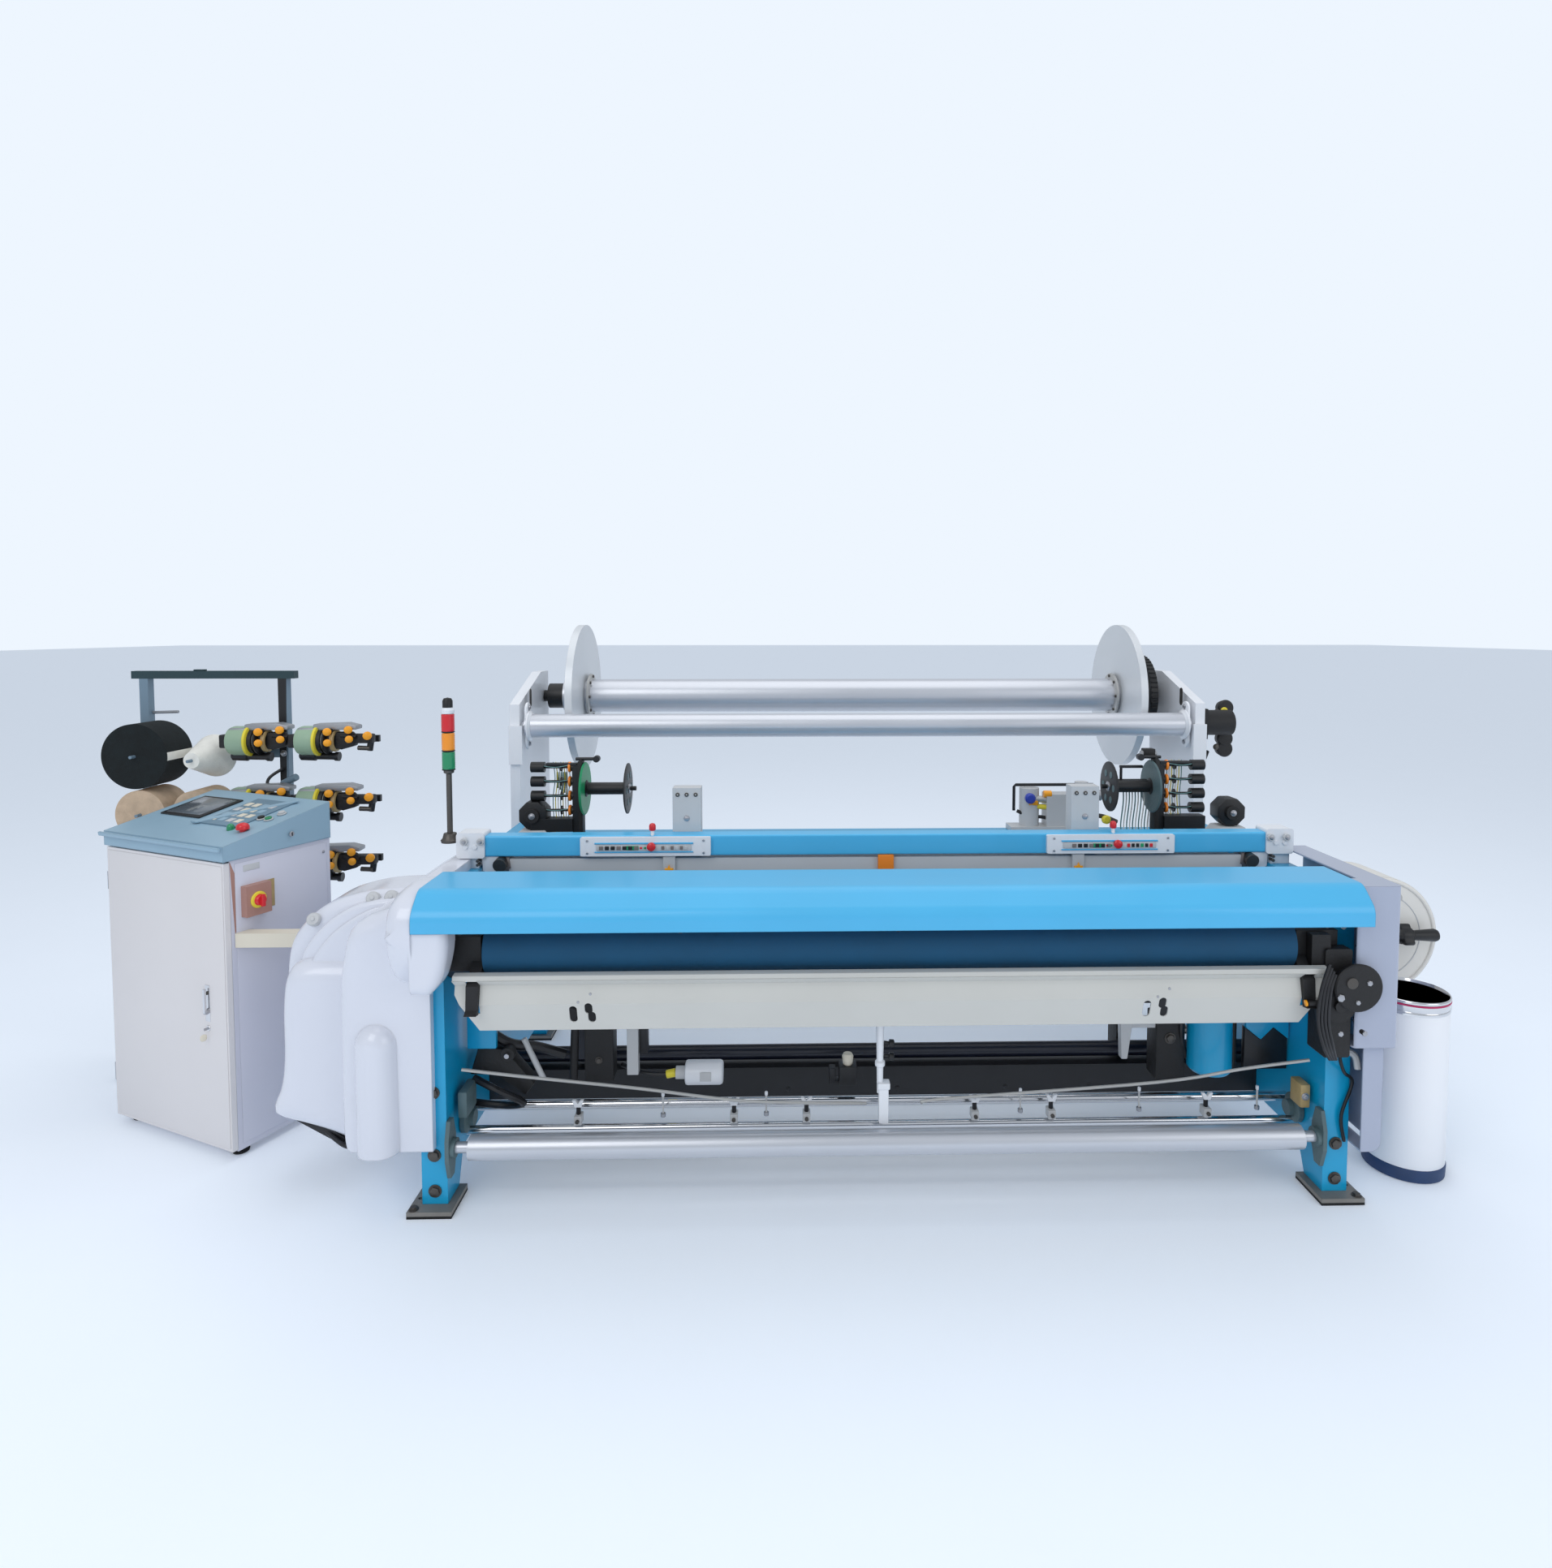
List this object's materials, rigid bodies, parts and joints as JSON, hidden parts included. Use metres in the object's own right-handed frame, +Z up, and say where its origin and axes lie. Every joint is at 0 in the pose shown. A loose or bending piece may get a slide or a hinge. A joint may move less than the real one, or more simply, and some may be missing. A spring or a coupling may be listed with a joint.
{
  "type": "power loom",
  "caption": "Terry rapier loom with take-up rollers, sley, heald frames, two warp beams, operator panels, control cabinet, weft feeder creel and waste can.",
  "frame": {"origin": "on the floor, at the centre of the four anchor holes in the loom's foot plates", "axes": "+X to the weaver's right along the beams, +Y away from the weaver, +Z up"},
  "size_m": [4.7629, 1.968, 1.7289],
  "materials": {
    "blue_paint": "semi-gloss paint",
    "sky_blue_paint": "semi-gloss paint",
    "grey_paint": "satin paint",
    "black_paint": "satin paint",
    "cast_black": "painted casting",
    "bare_steel": "ground",
    "chrome_tube": "polished",
    "aluminium": "anodised",
    "dark_sleeve": "fine emery-like grip sleeve",
    "foot_rubber": "matt",
    "white_moulding": "gloss",
    "lavender_grey": "satin paint",
    "black_plastic": "satin",
    "orange_plastic": "satin",
    "red_plastic": "gloss",
    "green_plastic": "gloss",
    "panel_white": "satin",
    "cabinet_paint": "textured paint",
    "desk_blue": "satin paint",
    "yarn": "cross-wound yarn",
    "feeder_green": "gloss",
    "can_white": "satin",
    "spool_white": "satin"
  },
  "bodies": {
    "loom": {"side_frames": "blue_paint", "foot_plates": "bare_steel", "foot_rubbers": "foot_rubber", "cross_beams": "blue_paint", "guide_tubes": "chrome_tube", "breast_cover": "sky_blue_paint", "cover_ribs": "black_paint", "apron": "grey_paint", "left_covers": "white_moulding", "left_rapier_cover": "white_moulding", "right_front_cover": "lavender_grey", "right_rapier_cover": "white_moulding", "roller_brackets": "cast_black", "gear_cases": "cast_black", "harness_guides": "grey_paint", "top_beam": "sky_blue_paint", "beam_brackets": "white_moulding", "control_panels": "panel_white", "front_fittings": "black_paint", "back_posts": "grey_paint", "oil_unit": "grey_paint", "selvedge_units": "black_paint", "stack_light": "panel_white", "cabinet_body": "cabinet_paint", "cabinet_desk": "desk_blue", "creel_frame": "grey_paint", "yarn_packages": "yarn", "feeder_bodies": "feeder_green", "waste_can": "can_white"},
    "takeup_roller": {"takeup_roller": "dark_sleeve"},
    "press_roller": {"press_roller": "bare_steel"},
    "cloth_roller": {"cloth_roller": "bare_steel"},
    "hand_crank": {"hand_crank": "black_plastic"},
    "sley": {"sley": "aluminium"},
    "rapier_head_left": {"rapier_head_left": "bare_steel"},
    "rapier_head_right": {"rapier_head_right": "bare_steel"},
    "rapier_wheel_left": {"rapier_wheel_left": "aluminium"},
    "rapier_wheel_right": {"rapier_wheel_right": "aluminium"},
    "heald_frame_1": {"heald_frame_1": "aluminium"},
    "heald_frame_2": {"heald_frame_2": "aluminium"},
    "heald_frame_3": {"heald_frame_3": "aluminium"},
    "heald_frame_4": {"heald_frame_4": "aluminium"},
    "stop_button_left": {"stop_button_left": "red_plastic"},
    "stop_button_right": {"stop_button_right": "red_plastic"},
    "rest_roller": {"rest_roller": "bare_steel"},
    "pile_beam": {"pile_beam": "aluminium"},
    "ground_beam": {"ground_beam": "aluminium"},
    "selvedge_spool_left": {"selvedge_spool_left": "spool_white"},
    "selvedge_spool_right": {"selvedge_spool_right": "spool_white"},
    "cabinet_door": {"cabinet_door": "cabinet_paint"},
    "door_handle": {"door_handle": "bare_steel"},
    "emergency_stop": {"emergency_stop": "red_plastic"},
    "start_button": {"start_button": "green_plastic"},
    "main_switch": {"main_switch": "red_plastic"},
    "feeder_disc_1": {"feeder_disc_1": "orange_plastic"},
    "feeder_disc_2": {"feeder_disc_2": "orange_plastic"},
    "feeder_disc_3": {"feeder_disc_3": "orange_plastic"},
    "feeder_disc_4": {"feeder_disc_4": "orange_plastic"},
    "feeder_disc_5": {"feeder_disc_5": "orange_plastic"},
    "feeder_disc_6": {"feeder_disc_6": "orange_plastic"}
  },
  "joints": [
    {"name": "pile_beam_spin", "type": "hinge", "parent": "loom", "child": "pile_beam", "pos_m": [0, 0.872, 1.413], "axis": [1, 0, 0], "continuous": true},
    {"name": "ground_beam_spin", "type": "hinge", "parent": "loom", "child": "ground_beam", "pos_m": [0, 0.752, 0.44], "axis": [1, 0, 0], "continuous": true},
    {"name": "rest_roller_spin", "type": "hinge", "parent": "loom", "child": "rest_roller", "pos_m": [0, 0.51, 1.316], "axis": [1, 0, 0], "continuous": true},
    {"name": "takeup_roller_spin", "type": "hinge", "parent": "loom", "child": "takeup_roller", "pos_m": [0, -0.6, 0.788], "axis": [1, 0, 0], "continuous": true},
    {"name": "press_roller_spin", "type": "hinge", "parent": "loom", "child": "press_roller", "pos_m": [0, -0.51506, 0.7142], "axis": [1, 0, 0], "continuous": true},
    {"name": "cloth_roller_spin", "type": "hinge", "parent": "loom", "child": "cloth_roller", "pos_m": [0, -0.6, 0.185], "axis": [1, 0, 0], "continuous": true},
    {"name": "sley_swing", "type": "hinge", "parent": "loom", "child": "sley", "pos_m": [0, -0.17, 0.262], "axis": [1, 0, 0], "range_deg": [-2, 10]},
    {"name": "rapier_left_slide", "type": "slide", "parent": "sley", "child": "rapier_head_left", "axis": [1, 0, 0], "range_m": [0, 0.87]},
    {"name": "rapier_right_slide", "type": "slide", "parent": "sley", "child": "rapier_head_right", "axis": [-1, 0, 0], "range_m": [0, 0.87]},
    {"name": "rapier_wheel_left_turn", "type": "hinge", "parent": "loom", "child": "rapier_wheel_left", "pos_m": [-1.632, -0.387, 0.668], "axis": [0, 1, 0], "range_deg": [0, 245]},
    {"name": "rapier_wheel_right_turn", "type": "hinge", "parent": "loom", "child": "rapier_wheel_right", "pos_m": [1.668, -0.132, 0.69], "axis": [0, 1, 0], "range_deg": [-325, 0]},
    {"name": "heald_frame_1_lift", "type": "slide", "parent": "loom", "child": "heald_frame_1", "axis": [0, 0, 1], "range_m": [-0.04, 0.04]},
    {"name": "heald_frame_2_lift", "type": "slide", "parent": "loom", "child": "heald_frame_2", "axis": [0, 0, 1], "range_m": [-0.04, 0.04]},
    {"name": "heald_frame_3_lift", "type": "slide", "parent": "loom", "child": "heald_frame_3", "axis": [0, 0, 1], "range_m": [-0.04, 0.04]},
    {"name": "heald_frame_4_lift", "type": "slide", "parent": "loom", "child": "heald_frame_4", "axis": [0, 0, 1], "range_m": [-0.04, 0.04]},
    {"name": "selvedge_spool_left_spin", "type": "hinge", "parent": "loom", "child": "selvedge_spool_left", "pos_m": [-0.9535, 0.045, 1.138], "axis": [1, 0, 0], "continuous": true},
    {"name": "selvedge_spool_right_spin", "type": "hinge", "parent": "loom", "child": "selvedge_spool_right", "pos_m": [0.9535, 0.045, 1.138], "axis": [1, 0, 0], "continuous": true},
    {"name": "hand_crank_spin", "type": "hinge", "parent": "loom", "child": "hand_crank", "pos_m": [1.38, -0.33, 0.7], "axis": [1, 0, 0], "continuous": true},
    {"name": "cabinet_door_swing", "type": "hinge", "parent": "loom", "child": "cabinet_door", "pos_m": [-2.6286, -0.0922, 0.5], "axis": [0, 0, 1], "range_deg": [-110, 0]},
    {"name": "door_handle_turn", "type": "hinge", "parent": "cabinet_door", "child": "door_handle", "pos_m": [-2.16911, -0.30646, 0.488], "axis": [-0.4226, -0.9063, 0], "range_deg": [0, 90]},
    {"name": "emergency_stop_press", "type": "slide", "parent": "loom", "child": "emergency_stop", "axis": [0, 0, -1], "range_m": [0, 0.006]},
    {"name": "start_button_press", "type": "slide", "parent": "loom", "child": "start_button", "axis": [0, 0, -1], "range_m": [0, 0.004], "stiffness_N_per_m": 500, "springref_m": -0.002},
    {"name": "main_switch_turn", "type": "hinge", "parent": "loom", "child": "main_switch", "pos_m": [-2.03539, -0.26344, 0.835], "axis": [0.9063, -0.4226, 0], "range_deg": [0, 90]},
    {"name": "stop_button_left_press", "type": "slide", "parent": "loom", "child": "stop_button_left", "axis": [0, 1, 0], "range_m": [0, 0.004], "stiffness_N_per_m": 500, "springref_m": -0.002},
    {"name": "stop_button_right_press", "type": "slide", "parent": "loom", "child": "stop_button_right", "axis": [0, 1, 0], "range_m": [0, 0.004], "stiffness_N_per_m": 500, "springref_m": -0.002},
    {"name": "feeder_disc_1_spin", "type": "hinge", "parent": "loom", "child": "feeder_disc_1", "pos_m": [-2.283, 0.3387, 1.279], "axis": [1, 0, 0], "continuous": true},
    {"name": "feeder_disc_2_spin", "type": "hinge", "parent": "loom", "child": "feeder_disc_2", "pos_m": [-2.022, 0.3387, 1.279], "axis": [1, 0, 0], "continuous": true},
    {"name": "feeder_disc_3_spin", "type": "hinge", "parent": "loom", "child": "feeder_disc_3", "pos_m": [-2.283, 0.3387, 1.041], "axis": [1, 0, 0], "continuous": true},
    {"name": "feeder_disc_4_spin", "type": "hinge", "parent": "loom", "child": "feeder_disc_4", "pos_m": [-2.022, 0.3387, 1.041], "axis": [1, 0, 0], "continuous": true},
    {"name": "feeder_disc_5_spin", "type": "hinge", "parent": "loom", "child": "feeder_disc_5", "pos_m": [-2.283, 0.3387, 0.803], "axis": [1, 0, 0], "continuous": true},
    {"name": "feeder_disc_6_spin", "type": "hinge", "parent": "loom", "child": "feeder_disc_6", "pos_m": [-2.022, 0.3387, 0.803], "axis": [1, 0, 0], "continuous": true}
  ],
  "couplings": [
    {"joint": "press_roller_spin", "follows": "takeup_roller_spin", "ratio": -2.7333},
    {"joint": "rapier_right_slide", "follows": "rapier_left_slide", "ratio": 1},
    {"joint": "rapier_wheel_left_turn", "follows": "rapier_left_slide", "rad_per_m": 4.878},
    {"joint": "rapier_wheel_right_turn", "follows": "rapier_left_slide", "rad_per_m": -5.9524},
    {"joint": "heald_frame_2_lift", "follows": "heald_frame_1_lift", "ratio": -1},
    {"joint": "heald_frame_3_lift", "follows": "heald_frame_1_lift", "ratio": 1},
    {"joint": "heald_frame_4_lift", "follows": "heald_frame_1_lift", "ratio": -1}
  ]
}
